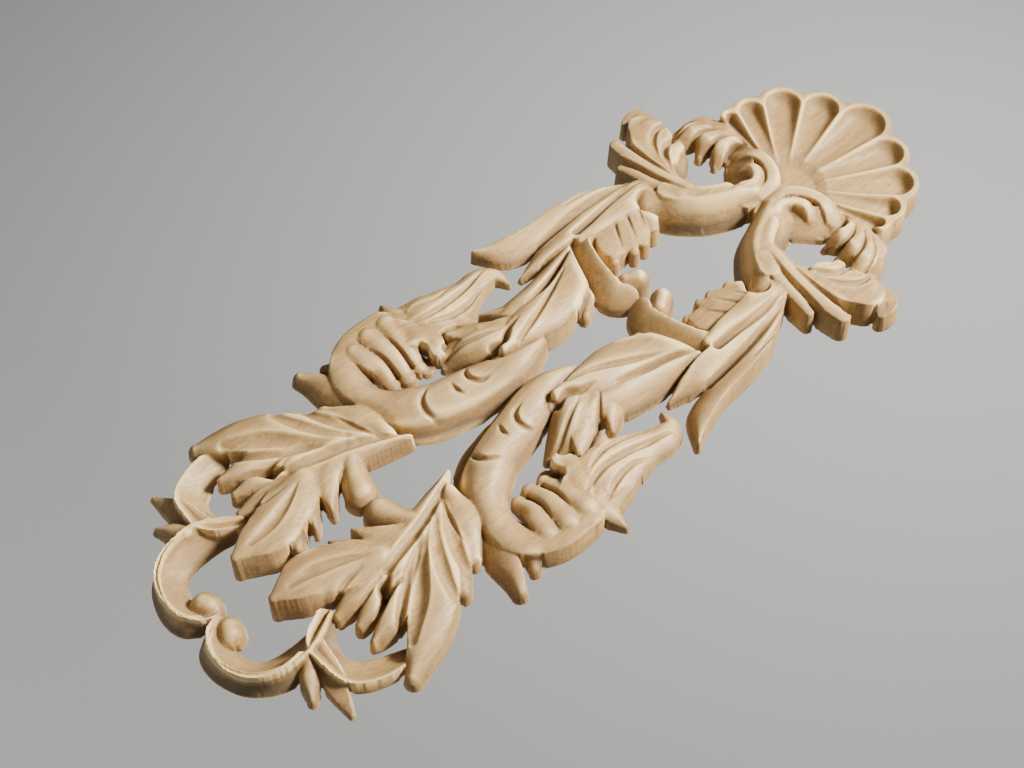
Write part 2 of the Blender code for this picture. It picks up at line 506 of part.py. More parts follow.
def build():
    clear_scene()
    points, faces = front_surface(GRID)
    mesh = bpy.data.meshes.new("carving")
    mesh.from_pydata([tuple(p) for p in to_world(points)], [], faces)
    carved = bpy.data.objects.new("carving", mesh)
    bpy.context.scene.collection.objects.link(carved)
    close_back(carved.data)
    thinned(carved, TRIANGLES)
    carved.data.name = "carving"
    carved.data.materials.append(wood_material())
    carved.data.shade_smooth()
    carved.data.set_sharp_from_angle(angle=SHARP_ANGLE)


build()
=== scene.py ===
"""Pierced floral wood carving before a plain studio sweep. The carved solid is replaced by one
finer piece of the same design: its strokes, some of them worked further, are drawn on a closer
grid, with eased edges and a wood surface."""

import math

import bmesh
import bpy
import numpy as np
from mathutils import Matrix, Vector


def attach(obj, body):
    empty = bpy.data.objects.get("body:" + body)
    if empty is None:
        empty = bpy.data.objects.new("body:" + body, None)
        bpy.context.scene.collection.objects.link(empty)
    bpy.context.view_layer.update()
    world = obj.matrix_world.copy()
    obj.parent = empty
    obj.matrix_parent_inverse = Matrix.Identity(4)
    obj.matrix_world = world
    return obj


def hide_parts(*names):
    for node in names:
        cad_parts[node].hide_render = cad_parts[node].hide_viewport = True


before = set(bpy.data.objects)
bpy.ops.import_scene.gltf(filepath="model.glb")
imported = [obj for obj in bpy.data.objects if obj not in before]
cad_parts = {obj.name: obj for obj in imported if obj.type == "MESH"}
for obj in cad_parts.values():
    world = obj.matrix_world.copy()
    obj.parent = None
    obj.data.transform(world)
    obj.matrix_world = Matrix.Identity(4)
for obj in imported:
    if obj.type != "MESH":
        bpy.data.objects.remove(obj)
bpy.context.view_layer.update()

# Sizes of the carving, in mm
HUB = 360.0  # height of the notch between the two volutes above the middle of the bottom curls
THINNEST = 1.4  # wood left where a lobe rolls down to the wall
HALF_WIDTH = 98.0  # how far out from the middle line the grid runs
LOWEST = -26.0  # where the grid starts
HIGHEST = 448.0  # and where it ends

# The shell: where its flutes meet, and each flute's angle, half angle and reach from there
SHELL_HUB = 366.0
SHELL_RIM = 2.2
FLUTES = (
    (90.0, 12.5, 75.5),
    (67.4, 10.1, 69.5),
    (46.8, 10.5, 68.2),
    (28.6, 7.7, 61.8),
    (15.6, 4.0, 57.5),
)
SHELL_RADII = (0, 17, 23, 38, 58, 80)
RIB_HEIGHTS = (8.5, 9.0, 12.0, 13.2, 15.7, 16.2)
FLUTE_DEPTHS = (0.0, 0.0, 0.8, 2.6, 6.0, 6.5)
FLUTE_SHARE = 0.95  # of the way from one rib to the next
FLUTE_POWER = 3.2  # how flat the floor of a flute is
FLUTE_START = 0.5  # nearest the hub that a flute's width is worked out
SCALLOP_SOFTNESS = 2.5  # how far the notches between the scallops are filled
SCALLOP_LIMIT = 60.0  # furthest in or out that a place counts for the scallops
EDGE_ROUND = 0.7  # radius that the top edges are eased to

# How the surface is drawn, in mm
GRID = 0.55
SNAP = 0.15  # share of a grid step within which the outline keeps off the grid's points
INSIDE_LIMITS = (-4 * GRID, 40.0)  # furthest out and in that a place counts as
PATH_STEPS = 8  # straight pieces between two points of a stroke
LEAST_HALF_WIDTH = 0.05
TINY = 1e-6  # keeps a division from being by zero
PAST_STROKE = 4  # how far past its points and width a stroke is worked out
NO_WOOD = -1e3  # height where no stroke has been laid, far below any wood
SOFT = 0.6  # width over which one stroke's side runs into the next
BLUR = 0.32  # width of the brush that smooths the front
BRUSH_REACH = 2.5  # how many widths out a brush reaches
LEAST_SHARE = 1e-3  # least share of wood under a brush
DRAFT = 0.8  # how far the side walls lean out at the back
LEAN_LOOK = 2.0  # how far ahead of a wall the room is measured
LEAN_FROM = 0.7  # room at which a wall starts to lean
LEAN_OVER = 1.1  # further room over which it comes to lean in full
SIDE_STEP = 0.3  # step that tells which side of the outline is open
BACK_SLACK = 1e-6  # in metres, how near the back a point counts as on it
TRIANGLES = 196000
SHARP_ANGLE = 0.9  # in radians, the least angle between faces that stays crisp
HOLLOW_WIDTH = 2.2  # how far around a place counts as its surroundings

# Wood colours; the hollow and ridge ones are painted shade and a painted highlight
WOOD_WARM = (0.42, 0.255, 0.095, 1.0)
WOOD_PALE = (0.58, 0.378, 0.148, 1.0)
WOOD_BAND = (0.27, 0.166, 0.075, 1.0)
WOOD_FIBRE = (0.18, 0.107, 0.048, 1.0)
WOOD_FLECK = (0.15, 0.09, 0.042, 1.0)
# painted shade, laid on places that lie below their surroundings
PAINTED_HOLLOW_SHADE = (0.105, 0.071, 0.041, 1.0)
# painted highlight, laid on ridges that stand above their surroundings
PAINTED_RIDGE_HIGHLIGHT = (1.0, 0.745, 0.35, 1.0)

# Wood patterns: how far each is stretched along x, y and z, its scale, detail and roughness
FIBRES = ((1.0, 1.0, 0.045), 1000.0, 4.0, 0.6)
BANDS = ((1.0, 1.0, 0.07), 260.0, 3.0, 0.55)
CLOUDS = ((1.0, 1.0, 0.4), 26.0, 2.0, 0.5)
FLECKS = ((1.0, 1.0, 0.12), 1300.0, 2.0, 0.5)
CHATTER = ((1.0, 1.0, 0.6), 220.0, 2.0, 0.5)

# How a pattern, or how many mm a place lies below its surroundings, becomes a share of a colour or
# of the roughness: the values from and to which it counts, and the results at these two
CLOUD_SHARE = (0.35, 0.65)
BAND_SHARE = (0.35, 0.7, 0.0, 0.5)
FIBRE_SHARE = (0.42, 0.68, 0.0, 0.5)
FLECK_SHARE = (0.6, 0.72)
FLECK_MOST = 0.45
# share of painted shade, from how far a place lies below its surroundings
HOLLOW_SHADE_SHARE = (0.1, 2.4, 0.0, 0.75)
# share of painted highlight, from how far a place stands above its surroundings
RIDGE_HIGHLIGHT_SHARE = (-0.15, -1.2, 0.0, 0.65)
FIBRE_ROUGHNESS = (0.3, 0.7, 0.40, 0.56)
HOLLOW_ROUGHNESS = (0.0, 2.0, 0.0, 0.15)
WOOD_SPECULAR = 0.35
GRAIN_BUMP = {"Distance": 0.00008, "Strength": 0.6}
TOOL_BUMP = {"Distance": 0.0005, "Strength": 0.5}

# Studio, in metres
PAPER = (0.80, 0.80, 0.78, 1.0)
PAPER_SHADE = 0.96  # how dark its darker specks are beside it
PAPER_SPECKS = ((1.0, 1.0, 1.0), 40.0)
PAPER_ROUGHNESS = 0.9
AIR = (0.95, 0.97, 1.0, 1.0)
AIR_STRENGTH = 0.07
FLOOR_Z = -1.3
FLOOR_REACH = 5.0
FLOOR_WIDTH = 30.0
SWEEP_RADIUS = 2.0
SWEEP_STEPS = 12
CENTRE = (0.0, -0.01, -0.15)
# Each lamp: name, place, what it points at, size, power, colour and the opening of its beam
LAMPS = (
    ("key lamp", (0.62, -0.95, 0.68), CENTRE, 0.3, 8.4, (1.0, 0.96, 0.90), 60.0),
    ("fill lamp", (-1.0, -1.6, -0.3), CENTRE, 1.2, 0.15, (0.95, 0.97, 1.0), 60.0),
    ("rear lamp", (-0.6, 1.8, 0.9), CENTRE, 1.2, 1.6, (1.0, 1.0, 1.0), 60.0),
    ("floor lamp", (3.5, -6.0, 4.5), (3.5, -6.5, -1.3), 2.5, 160.0, (1.0, 0.99, 0.97), 140.0),
    ("backdrop lamp", (-1.5, 0.5, 5.0), (-3.5, 5.0, 2.0), 2.5, 200.0, (1.0, 0.99, 0.97), 160.0),
)

# Camera, in metres, looking up at the carving from below and to its right
SENSOR_WIDTH = 36.0
LENS = 56.22
CAMERA_PLACE = (0.3373, -0.6414, -0.4804)
CAMERA_RIGHT = (0.6728, 0.0174, 0.7396)
CAMERA_UP = (-0.5951, -0.5812, 0.5551)
CAMERA_FORWARD = (-0.4395, 0.8136, 0.3807)
CLIP_START = 0.01


def stroke(points, width, left, right=None, bulge=0.0, power=2.0):
    """One pass of the gouge: a curve through points, its half width, the heights of its two edges
    (left and right of the way it runs) and how far its middle stands over them. Lists run evenly
    along it."""
    right = left if right is None else right
    return {"points": points, "width": width, "left": left, "right": right, "bulge": bulge,
            "power": power}


def cut(points, width, depth):
    """A groove along a curve, with its half width and its depth."""
    return {"points": points, "width": width, "depth": depth}


def hub():
    """Root of the shell, behind the notch between the two volutes."""
    return [stroke([(0, 365), (0, 351)], [3, 3], 8.5)]


def sprig():
    """Small toothed leaf between the shell and the crest leaf."""
    return [
        stroke([(36, 371), (48, 371), (60, 368)], [4, 6, 7], [9, 12, 11], bulge=1.2),
        stroke([(43, 369), (42.5, 362), (39.5, 355.5)], [4.5, 4.4, 1.5], [12, 11, 3], bulge=1.5),
        stroke([(51, 369), (52, 361), (49.5, 354)], [5, 4.6, 2], [12, 12, 4], bulge=1.5),
        stroke([(58, 367), (61.5, 359), (62.5, 352.5)], [5, 5.6, 4], [12, 12, 7], bulge=1.5),
        stroke([(60, 368), (65, 363.5), (68, 357)], [6, 4.4, 3], [11, 9.5, 6], bulge=0.6),
        cut([(43, 373), (47, 366), (46.8, 360), (44, 354)], [0.6, 1.2, 1.6, 1.6], [0.4, 1.6, 4, 6]),
        cut([(49, 373), (55.5, 365), (57, 358), (56, 352)], [0.6, 1.2, 1.6, 1.8], [0.4, 1.6, 3, 6]),
        cut([(54, 373), (61, 367), (65.3, 359), (66, 352)], [0.6, 1.1, 1.2, 1.2],
            [0.4, 1.2, 1.6, 2]),
    ]


def crest_leaf():
    """Leaf that the stem's top runs into, with broad shallow lobes and a hooked end."""
    return [
        stroke([(28, 325), (38, 324), (50, 326.5), (62, 332), (72, 336.5), (78.5, 339.5)],
               [3.5, 4.6, 5.4, 8, 10.2, 8.6], [13, 14, 15, 15.5, 16, 15],
               [18.5, 18, 17.5, 17.5, 17.5, 17], bulge=0.6),
        stroke([(72, 341), (79, 343), (86, 346.8)], [8.5, 7, 4], [15, 16, 13], [16.5, 16.5, 13],
               bulge=0.8),
        stroke([(85, 344), (88.5, 340.5), (90.5, 338)], [4.4, 3.6, 2.4], [13, 12.5, 11]),
        stroke([(84, 347), (89.5, 347), (92.2, 343), (92, 338.5)], [4, 3.2, 2, 1.4],
               [14, 14, 13, 11.5]),
        stroke([(50.5, 331), (50.2, 337), (52.5, 343.5)], [2.4, 5, 3.6], [15, 2.5, 4],
               [18, 18.5, 15.5], bulge=1),
        stroke([(54, 333), (57, 339), (57, 343.5)], [5, 5, 3.4], [17, 16.5, 15], bulge=1),
        stroke([(58, 332), (64, 339), (67.5, 344.5)], [5, 5.5, 4], [16, 15, 14], [16.5, 16, 15],
               bulge=1.2),
        stroke([(28, 323), (40, 321), (54, 320), (68, 320), (79.5, 320.5)], [3.2, 4, 4.6, 5, 4.2],
               [19, 19, 18, 17, 14.5], [20, 18.5, 17.5, 16.5, 15.5], bulge=0.8),
        stroke([(28, 317.5), (38, 314.8), (50, 313), (60, 311.8), (66.5, 310.6)],
               [3.4, 3.6, 3.6, 3.4, 2.4], [20, 18.5, 17.5, 16.5, 14], [20, 19, 18, 16.5, 14],
               bulge=0.8),
        cut([(30, 321), (38, 318.6), (48, 316.6), (60, 315.4), (71, 314)],
            [0.7, 1.4, 1.8, 1.8, 1.6], [0.4, 1.8, 2.6, 2.8, 2.8]),
        cut([(34, 326), (44, 324), (56, 323.2), (68, 323.4), (80, 324.4)],
            [0.6, 1.2, 1.6, 1.8, 1.6], [0.4, 1.6, 2.4, 2.8, 2.8]),
        cut([(46, 328.5), (54, 331.5), (59.5, 336.5), (61, 342), (60.5, 347.5)],
            [0.8, 1.8, 2.4, 2.2, 1.6], [0.4, 1.8, 2.6, 2.8, 3]),
        cut([(58, 329.5), (66, 334), (70.5, 339), (72.5, 344), (72.5, 349)],
            [0.8, 1.8, 2.4, 2, 1.4], [0.4, 1.6, 2.4, 2.6, 2.6]),
    ]


def second_leaf():
    """Draped leaf under the main stem: outer tip, inner tip and the ridge that they hang from."""
    return [
        stroke([(52, 300), (60, 284), (64.5, 264), (66, 245), (70, 230), (80.5, 217.5)],
               [5, 6, 6, 5.8, 6, 1.1], [16, 17, 16, 14, 12, 8], [15, 12, 9, 5, 4, 6], bulge=2),
        stroke([(50, 300), (54, 280), (54, 260), (54, 243), (53.5, 226)], [7, 8, 6.5, 5.5, 1.1],
               [16, 13, 10, 7, 2], [16, 16, 16, 14, 4], bulge=2),
        stroke([(46, 303), (46, 288), (45, 273), (45.5, 261)], [9, 7, 5, 3.5], [17, 16, 15, 13],
               [17, 17, 17, 15], bulge=2.4),
        cut([(54, 306), (58, 290), (60.5, 270), (60.5, 246)], [0.8, 2.8, 3, 2], [0.8, 2.2, 2.6, 4]),
        cut([(50, 308), (51.5, 290), (50.5, 274), (50, 262)], [0.8, 2.4, 2.6, 2.8],
            [0.8, 1.8, 3.4, 7]),
        cut([(56, 306), (61.5, 296), (65, 284), (67, 270)], [0.6, 1.2, 1.2, 0.8],
            [0.6, 1.8, 1.6, 0.6]),
    ]


def bud():
    """Lobes that roll in under the end of the main stem."""
    return [
        stroke([(38, 300), (36, 291), (35, 282), (34, 273)], [8, 10.5, 11.4, 9], [16, 16.5, 16, 14],
               [12, 12, 11.5, 10], bulge=1.5),
        stroke([(47, 303), (37, 299.5), (28, 295)], [7, 6, 4], [17, 15, 12], bulge=1.5),
        stroke([(48, 296), (37, 291), (24.5, 285.5)], [7, 5.6, 3.4], [17, 14.5, 10.5], bulge=1.4),
        stroke([(49, 289), (38, 283.5), (23.5, 278)], [7, 5.6, 2.8], [17, 14, 9.5], bulge=1.4),
        stroke([(49, 281), (40, 276), (32, 271), (26, 266.5)], [7, 6, 5, 2.6], [16, 14, 11.5, 8.5],
               bulge=1.4),
        cut([(47, 300), (38, 295.5), (30, 291.5)], [0.5, 1, 0.8], [0.5, 1.6, 0.5]),
        cut([(48, 293), (38, 287.5), (28, 283)], [0.5, 1, 0.8], [0.5, 1.6, 0.5]),
        cut([(48, 286), (39, 279.5), (29, 274)], [0.5, 1, 0.8], [0.5, 1.6, 0.5]),
    ]


def middle_leaf():
    """Long leaf that runs down the middle, folds over the stem and ends in a tongue."""
    return [
        stroke([(37, 247), (27, 241.5), (19, 237), (13, 232.5)], [5, 6.5, 6.5, 3.2], [10, 5, 3, 2],
               [14, 13, 11, 5], bulge=2.5),
        stroke([(44, 264), (36, 245), (28, 225), (24, 206), (22, 194), (18.6, 183)],
               [3, 9, 13, 14.5, 10, 2.4], [13, 11, 7, 9, 14, 17], [15, 16, 15, 14, 15, 18],
               bulge=[2, 4, 6, 7, 6, 2]),
        stroke([(47, 252), (43, 236), (40.5, 222), (38, 208), (35, 198), (33, 188)],
               [3, 5.5, 7, 7.5, 7, 6], [9, 5, 3, 4, 8, 12], [14, 14, 13, 14, 15, 16],
               bulge=[2, 4, 5, 5, 4, 2]),
        stroke([(34, 207), (40, 201), (47, 194)], [5.5, 5, 2], [10, 8, 5], [14, 13, 8], bulge=2),
        stroke([(30, 192), (37, 184), (43, 177), (47.5, 172)], [6, 6.5, 5, 2.4], [14, 12, 11, 10],
               [17, 16, 14, 12], bulge=1.5),
        stroke([(34, 181), (40, 172), (41.5, 166)], [6, 5.5, 2.6], [15, 12, 7], bulge=1),
        stroke([(24, 193), (28, 182), (33, 172), (37.5, 161)], [6, 6.5, 6, 2.4], [16, 17, 14, 4],
               [15, 13, 8, 3], bulge=[2, 3, 3, 1]),
        cut([(45, 254), (39.5, 240), (35.5, 225), (33, 211)], [0.6, 1.8, 2.4, 1.2],
            [0.8, 3.4, 3.8, 1]),
        cut([(36, 240), (28, 222), (21, 205), (17, 192)], [0.5, 1.8, 2.2, 1.6], [0.4, 2, 2.6, 2]),
        cut([(27, 201), (25.5, 193), (21.5, 186), (24, 180)], [0.6, 2, 2.4, 2], [0.5, 2.4, 4.5, 4]),
        cut([(31, 200), (38, 193.5), (44.5, 187)], [0.6, 1.6, 2], [0.5, 3, 5]),
        cut([(28, 190), (32, 180), (37, 170), (39, 163)], [0.6, 1.4, 1.6, 1], [0.5, 1.8, 2, 1]),
    ]


def inner_curl():
    """Curl with a ball end that meets its mirror on the middle line."""
    return [
        stroke([(8.5, 266), (11.5, 261)], [5.8, 6], [10, 8], bulge=6),
        stroke([(55, 272), (47, 261.5), (36, 254.5), (23, 250.5), (11, 249.5), (3.5, 254.5)],
               [4, 4.6, 5, 5.8, 6.4, 5], [14, 11, 7, 5, 4, 5], [16.5, 17.5, 18, 17, 15.5, 13],
               bulge=[1.2, 1, 0.8, 0.8, 0.8, 1]),
    ]


def main_stem():
    """Thick stem that rolls over into the volute: ground, slope, outer band, bead, body, inner
    slope and the ridge over it."""
    return [
        stroke([(6, 345), (5.5, 354), (10, 363), (17, 367), (23, 366.5), (28, 364), (31, 361)],
               [6, 6, 6.5, 6.5, 6, 5.5, 3.6], [13, 13, 12.5, 12.5, 12, 9, 3]),
        stroke([(19.3, 353.7), (23.6, 357.9), (28.2, 361.9), (34.2, 368.4)], [6.8, 6.8, 6.8, 6.2],
               [13.5, 14, 13.5, 12], 1.6, bulge=0.5),
        stroke([(1.5, 352), (3.5, 361), (9, 367.5), (15.5, 370.8), (22.5, 371.8), (29.5, 370.5),
               (34.5, 367.5), (36.3, 364)], [3.4, 3.4, 3.6, 3.6, 3.6, 3.8, 3.8, 3],
               [12, 13, 14, 14, 14, 13, 9, 3], [16, 16, 16, 15.5, 15.5, 15, 11, 4], bulge=0.8),
        stroke([(10.5, 345), (8.5, 352), (11.5, 358.5), (16.5, 362), (22, 362.6), (26.5, 361),
               (29.5, 358.3)], [3.2, 3.2, 3.2, 3.4, 3.4, 3.2, 2.2], [16, 15, 14, 14, 13, 8, 2],
               [19, 18.5, 17.5, 17, 16, 11, 2.5], bulge=[2, 2, 2, 2, 2, 1.6, 1]),
        stroke([(39, 303), (33, 307.2), (26, 311.3), (20, 316.4), (15.5, 321.7), (10.8, 330.4),
               (7.2, 339.8), (5.3, 348.7)], [6, 6, 5.6, 5.4, 5.7, 5.5, 5.3, 5],
               [8, 2, 1.5, 1.5, 1.5, 2, 5, 12], [18, 19, 20, 20, 20, 20, 20, 18],
               bulge=[3, 5, 6, 6.5, 6.5, 6, 5, 3]),
        stroke([(34, 322), (27, 326), (22, 331.5), (19.3, 337), (17.3, 343.5), (14, 350)],
               [7, 5.2, 4.6, 5.6, 6, 4.5], 20, [16.5, 15.5, 10, 4, 1.5, 9],
               bulge=[0.5, 0.8, 1.6, 3, 4, 1]),
        stroke([(36, 314), (27, 319.5), (20.5, 328), (16, 338)], [5, 4.5, 4, 3], 19.6, bulge=0.6),
    ]


def side_leaf():
    """Tips that point outward under the stem's turn."""
    return [
        stroke([(64, 122), (71, 119.5), (76, 116)], [8, 5.5, 2.8], [11, 9, 5], bulge=2),
        stroke([(44, 112), (60, 108), (72, 106), (80.5, 103)], [6, 7, 6, 3.4], [12, 12, 10, 6],
               [5, 1.5, 1.5, 2], bulge=2.5),
    ]


def middle_stem():
    """Stem that touches its mirror in the middle and turns out and up into the side leaf, with the
    three fingers that roll down into its eye."""
    return [
        stroke([(44, 154), (57, 152)], [4.5, 4.5], 3),
        stroke([(72, 152), (58, 151.5), (46, 150.5)], [5, 5, 4], [14, 12, 5], bulge=2),
        stroke([(72, 141), (56, 143.5), (44.5, 142.5)], [5, 5.2, 4.2], [14, 12, 5], bulge=2),
        stroke([(70, 130), (56, 134.5), (46, 134)], [5, 5, 4], [13, 11, 5], bulge=2),
        stroke([(12, 202), (11, 188), (12, 174), (14, 160), (17, 147), (21, 136), (33, 122),
               (50, 117.5), (64, 122), (72, 134), (72, 150)],
               [3, 8.5, 11.5, 13, 13.5, 14, 11.6, 9.5, 10, 9.5, 10],
               [8, 9, 10, 11, 10, 9, 8, 6, 4, 5, 6], [12, 13, 11, 5, 2, 2, 3, 9, 12, 13, 13],
               bulge=[5, 7, 7, 9, 11.5, 11, 9, 6, 5, 4, 4]),
        stroke([(70, 148), (65.5, 166), (62.5, 182), (64, 196), (66.5, 208), (63.5, 217),
               (55, 219.5)], [11, 14.5, 14.5, 12, 8, 6, 0.8], [12, 13, 12, 9, 8, 7, 4],
               [6, 6, 8, 8, 6, 5, 3], bulge=[3, 3, 4, 4, 3, 3, 1]),
        stroke([(58, 180), (50, 184), (45, 188)], [8, 5, 1.1], [12, 10, 8], bulge=1.5),
        stroke([(66, 170), (70, 178), (73, 185)], [8, 5.5, 2.4], [11, 10, 6], bulge=1.5),
        stroke([(72, 158), (80, 160.5), (88.5, 162)], [8, 4.5, 1.1], [11, 8, 3], bulge=1.5),
        stroke([(75, 146), (62, 157.5), (51, 164), (43.5, 162)], [6, 5.5, 5, 4], [11, 12, 13, 11],
               [14, 14, 13, 11], bulge=1),
        cut([(67, 146.5), (57, 147.8), (47, 147.5)], [0.6, 1.1, 1.4], [0.5, 2.6, 3.4]),
        cut([(66, 136), (56, 138.7), (47, 138.6)], [0.6, 1.1, 1.4], [0.5, 2.6, 3.4]),
        cut([(68, 214), (65, 200), (62.5, 186), (62, 172), (66, 158)], [0.6, 2, 2.4, 2.4, 1],
            [0.6, 2.6, 3.2, 2.8, 0.8]),
        cut([(60, 206), (55.5, 192), (54.5, 180), (58, 168)], [0.6, 1.6, 2, 1],
            [0.5, 2.2, 2.4, 0.8]),
        cut([(71, 194), (69, 184), (71, 172), (75, 163)], [0.5, 1.4, 1.8, 1], [0.4, 1.8, 2.2, 0.8]),
        cut([(1, 180), (2, 164), (4.6, 148), (9, 133), (15, 121), (27, 111.5), (44, 108),
            (60, 109)], [1, 3, 4, 4.6, 4.8, 4.4, 3.4, 1], [0.6, 4, 6, 6.5, 6.5, 5.5, 3.4, 0.6]),
        cut([(11, 139), (13, 134.5), (18, 132.5), (23, 134.5), (27, 141)],
            [0.4, 1.4, 1.8, 1.4, 0.4], [0.3, 2, 2.8, 2, 0.3]),
        cut([(12, 152), (16.5, 150.4), (21, 150.6)], [0.5, 1.3, 0.5], [0.3, 2.4, 0.3]),
        cut([(11, 168), (12.5, 162.5), (17, 159.6), (21.5, 160.6), (25, 164)],
            [0.4, 1.4, 1.8, 1.6, 0.4], [0.3, 2.2, 2.8, 2.4, 0.3]),
        cut([(16, 186), (16.5, 180), (20, 176.5), (23.5, 178)], [0.4, 1.3, 1.4, 0.4],
            [0.3, 1.8, 2, 0.3]),
    ]


def big_leaf():
    """Large acanthus leaf: outer lobes, small end lobes, end block, inner teeth and the ball."""
    return [
        stroke([(29, 95), (21, 88.5), (13.5, 85), (7, 83)], [7, 6.6, 7.2, 8], [13, 10.5, 8, 7],
               bulge=[3, 4.5, 6, 6.5]),
        stroke([(28, 82), (20, 73), (7.5, 66.5)], [6, 5.5, 1.2], [14, 13.5, 10.5], bulge=1.4),
        stroke([(28, 72), (20, 62), (5.5, 55)], [6, 5.5, 1.2], [14, 13.5, 10.5], bulge=1.4),
        stroke([(26, 60), (14, 48), (0, 41.5)], [7, 7, 2], [14, 13, 10], bulge=2),
        stroke([(22, 112), (36, 107), (53, 98)], [4, 8, 5], [12, 12, 8], bulge=2.4),
        stroke([(28, 101), (46, 93), (64, 84)], [7, 8, 3.4], [13, 12, 7], bulge=2.4),
        stroke([(34, 90), (54, 76), (67, 62), (75, 50), (80, 41)], [8, 10.5, 11, 8.5, 4],
               [14, 14, 13, 10, 5], [14, 14, 14, 12, 5], bulge=3.2),
        stroke([(38, 80), (48, 64), (54, 49), (56.6, 39)], [6, 7.8, 6.8, 2.2], [14, 14, 12, 8],
               bulge=2),
        stroke([(36, 66), (42.5, 52), (46, 39.5)], [5.5, 6.2, 2.4], [13, 12, 8], bulge=1.4),
        stroke([(32, 60), (34, 46), (36, 35)], [5.5, 6, 2.4], [13, 12, 8], bulge=1.4),
        stroke([(28, 66), (20, 50), (15, 37), (14.5, 27), (14, 17.5)], [7, 12, 12, 10, 2.5],
               [14, 14.5, 16, 17.5, 17.5], bulge=[4, 4, 3, 1.5, 1]),
        stroke([(13.5, 119), (20.5, 105), (29, 88), (35, 70)], [1.1, 5.6, 9, 9], [10, 12, 13, 14],
               bulge=3),
        cut([(16, 116), (23, 103), (28.5, 90), (32, 77), (36, 64)], [0.8, 2.6, 3.4, 3.6, 3],
            [0.6, 2.6, 3.4, 3.4, 3]),
        cut([(26, 105), (40, 98), (52, 92.5), (60, 91)], [0.8, 3.2, 3.8, 3], [0.5, 2.2, 3, 2.6]),
        cut([(29, 98), (42, 87.5), (56, 80.5), (66, 77.5)], [0.8, 3.2, 3.8, 3], [0.5, 2.2, 3, 2.6]),
        cut([(32, 92), (44, 77), (57, 65), (69, 50)], [0.8, 3.6, 4.6, 3], [0.5, 2.4, 3, 1.4]),
        cut([(34, 86), (43, 71), (52, 59), (59, 51)], [0.8, 2.8, 3.2, 2.2], [0.5, 2.6, 3.4, 3.4]),
        cut([(20, 108), (32, 103), (46, 99)], [0.6, 1.4, 0.8], [0.4, 1.4, 0.5]),
        cut([(26, 62), (20, 50), (16, 38), (14.5, 26)], [0.6, 2.6, 3.4, 2], [0.5, 2, 2.2, 1]),
        cut([(43.5, 66), (45, 56), (49.5, 47), (52, 38)], [0.8, 2.4, 1.8, 1], [1.5, 6.5, 2.6, 1.6]),
        cut([(35.5, 62), (38.6, 50), (40.5, 40)], [0.6, 1.4, 1.2], [0.6, 1.8, 1.8]),
        cut([(39, 62), (41, 57.5), (44, 53.5)], [1.4, 3.6, 1.8], [3, 9, 4]),
        cut([(28, 56), (29, 46), (31, 37)], [0.6, 1.4, 1.2], [0.6, 1.8, 1.8]),
    ]


def bottom_scroll():
    """Ring, outward tips and the C curl with its ball end under the big leaf."""
    return [
        stroke([(44, 12), (51, 7), (58, 2.5)], [3, 4.5, 2], [9, 6, 2], bulge=3),
        stroke([(42, 18), (58, 14.5), (74, 11)], [4, 5, 1.1], [12, 9, 3], [8, 5, 2]),
        stroke([(70, 46), (66.5, 33), (60, 23), (49, 20), (40, 22), (33, 30)], [5, 6.5, 7, 6, 6, 4],
               [9, 9, 10, 13, 13.5, 12], [1, 1, 1, 1.5, 2, 6], bulge=-1),
        stroke([(43.5, 10), (44, 2), (40.5, -7), (32.5, -15.5), (20, -20), (9, -19), (3, -12.5)],
               2.4, 2, [15, 15, 14.5, 14, 13, 12, 11]),
        stroke([(31, 32), (36, 18), (37, 6), (34, -5), (27, -11), (17, -13), (7, -10), (4, -6)],
               [2.6, 4.6, 6.2, 6.5, 6.5, 6, 5, 4], [12, 14, 15, 14.5, 14, 13, 12, 11],
               [1, 1, 1, 1, 1.5, 2, 4, 6], bulge=-1),
        stroke([(7.5, -4), (10, -5)], [6, 6], 7, bulge=4),
    ]


def crown():
    """The main stem and the crest leaf, which run into each other."""
    return main_stem() + crest_leaf()


# From the lowest layer to the one on top
LAYERS = (
    hub, sprig, side_leaf, middle_stem, middle_leaf, inner_curl, bud, second_leaf, crown,
    bottom_scroll, big_leaf,
)


def smooth_run(a, b, c, d, s):
    """Value a share s of the way from b to c, on a smooth curve that also goes through a and d."""
    squared, cubed = 2 * a - 5 * b + 4 * c - d, 3 * b - a - 3 * c + d
    return b + 0.5 * ((c - a) * s + squared * s**2 + cubed * s**3)


def smooth_path(points):
    """Points along a smooth curve through the given ones, and the share of its length at each."""
    pts = np.array(points, float)
    if len(pts) > 2:
        ends = np.vstack([2 * pts[0] - pts[1], pts, 2 * pts[-1] - pts[-2]])
        s = np.linspace(0, 1, PATH_STEPS, endpoint=False)[:, None]
        runs = [smooth_run(*four, s) for four in zip(ends, ends[1:], ends[2:], ends[3:])]
        pts = np.vstack(runs + [pts[-1:]])
    length = np.r_[0, np.cumsum(np.hypot(*np.diff(pts, axis=0).T))]
    return pts, length / length[-1]


def spread(values, share):
    """Values set at even steps along a stroke, read at a share of its length, smoothly."""
    values = np.atleast_1d(np.array(values, float))
    count = len(values) - 1
    if count < 2:
        return values[0] + (values[-1] - values[0]) * share
    ends = np.r_[2 * values[0] - values[1], values, 2 * values[-1] - values[-2]]
    place = np.clip(share * count, 0, count)
    i = np.minimum(place.astype(int), count - 1)
    smooth = smooth_run(ends[i], ends[i + 1], ends[i + 2], ends[i + 3], place - i)
    return np.clip(smooth, values.min(), values.max())


